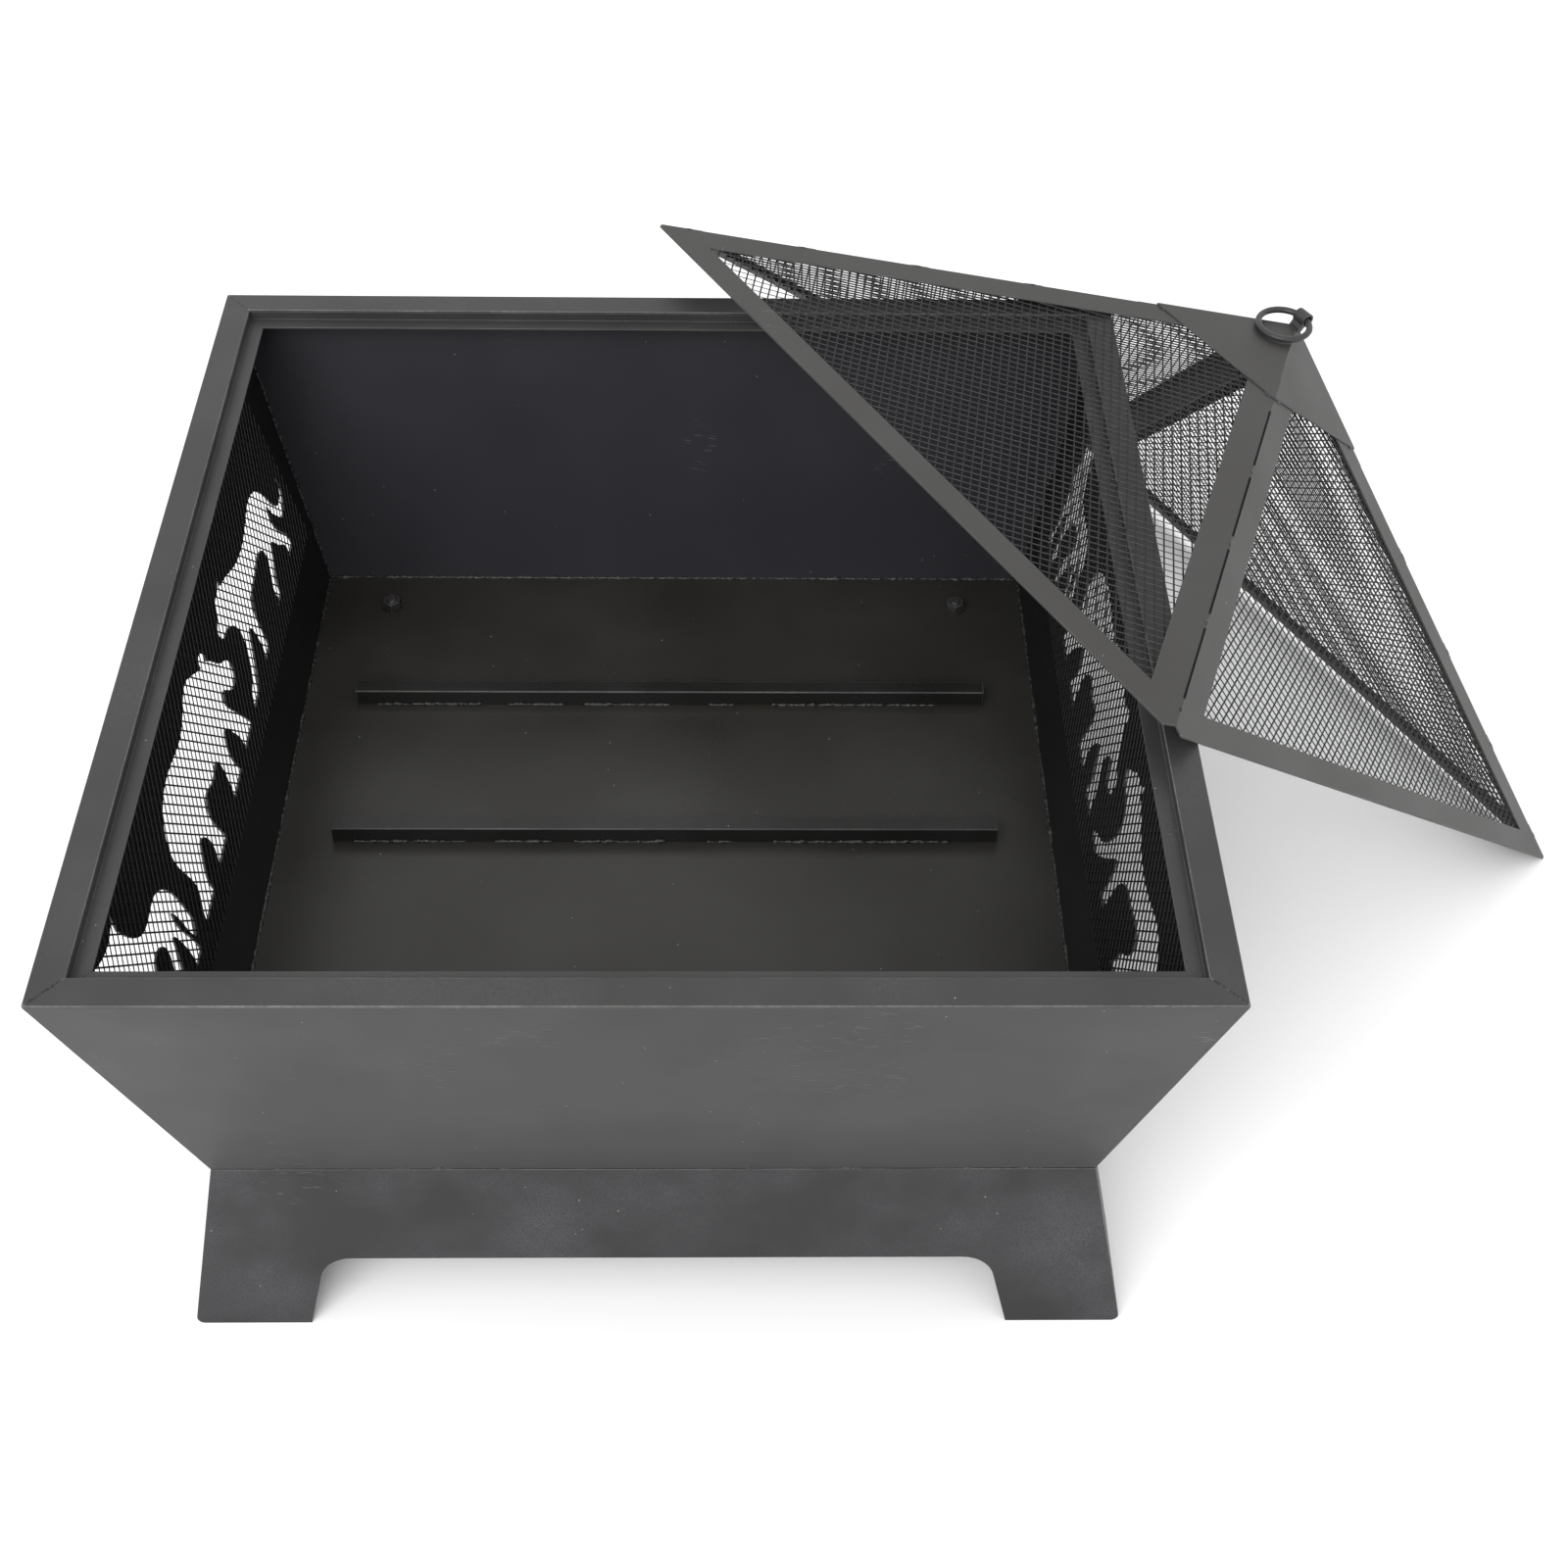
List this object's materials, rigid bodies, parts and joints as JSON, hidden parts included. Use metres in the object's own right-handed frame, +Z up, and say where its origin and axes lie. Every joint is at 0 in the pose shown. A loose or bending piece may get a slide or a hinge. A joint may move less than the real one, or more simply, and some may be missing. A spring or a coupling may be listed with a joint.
{
  "type": "fire pit",
  "caption": "Square outdoor steel fire pit on a flared base with arched feet, pierced mesh-lined sides, log rails, and a pyramid mesh spark screen leaning on its rim.",
  "frame": {"origin": "on the ground under the middle of the pit", "axes": "+X to the right along the front, +Y from front to back, +Z up"},
  "size_m": [1.0369, 0.9566, 0.41],
  "materials": {
    "walls": "black high-temperature paint, satin, fine dust and faint scuffs",
    "base": "black high-temperature paint, satin, light scratches",
    "rim": "black high-temperature paint, worn pale at the edges",
    "firebox": "black high-temperature paint, matt, with rough weld beads",
    "screen": "black high-temperature paint, satin",
    "mesh": "black painted expanded steel mesh",
    "strap": "black paint over bent steel strap",
    "ring": "black paint over round steel bar",
    "fasteners": "black painted steel, matt"
  },
  "bodies": {
    "pit": {"floor_plate": "firebox", "floor_bolts": "fasteners", "floor_washers": "fasteners", "floor_nuts": "fasteners", "front_panel": "walls", "rim_front": "rim", "ledge_front": "rim", "base_front": "base", "right_panel": "walls", "rim_right": "rim", "ledge_right": "rim", "base_right": "base", "right_mesh": "mesh", "back_panel": "walls", "rim_back": "rim", "ledge_back": "rim", "base_back": "base", "left_panel": "walls", "rim_left": "rim", "ledge_left": "rim", "base_left": "base", "left_mesh": "mesh", "log_rail_front": "firebox", "log_rail_middle": "firebox", "log_rail_back": "firebox"},
    "screen": {"lid_frame_front": "screen", "lid_mesh_front": "mesh", "hip_strip_front": "screen", "lid_frame_right": "screen", "lid_mesh_right": "mesh", "hip_strip_right": "screen", "lid_frame_back": "screen", "lid_mesh_back": "mesh", "hip_strip_back": "screen", "lid_frame_left": "screen", "lid_mesh_left": "mesh", "hip_strip_left": "screen", "lid_cap": "screen", "ring_strap": "strap"},
    "ring": {"pull_ring": "ring"}
  },
  "joints": [
    {"name": "screen_lift", "type": "slide", "parent": "pit", "child": "screen", "axis": [0, 0, 1], "range_m": [0, 0.45]},
    {"name": "ring_swing", "type": "hinge", "parent": "screen", "child": "ring", "pos_m": [0.47475, 0.31335, 0.37569], "axis": [-0.5178, 0.8554, 0.0146], "range_deg": [0, 256.9]}
  ]
}
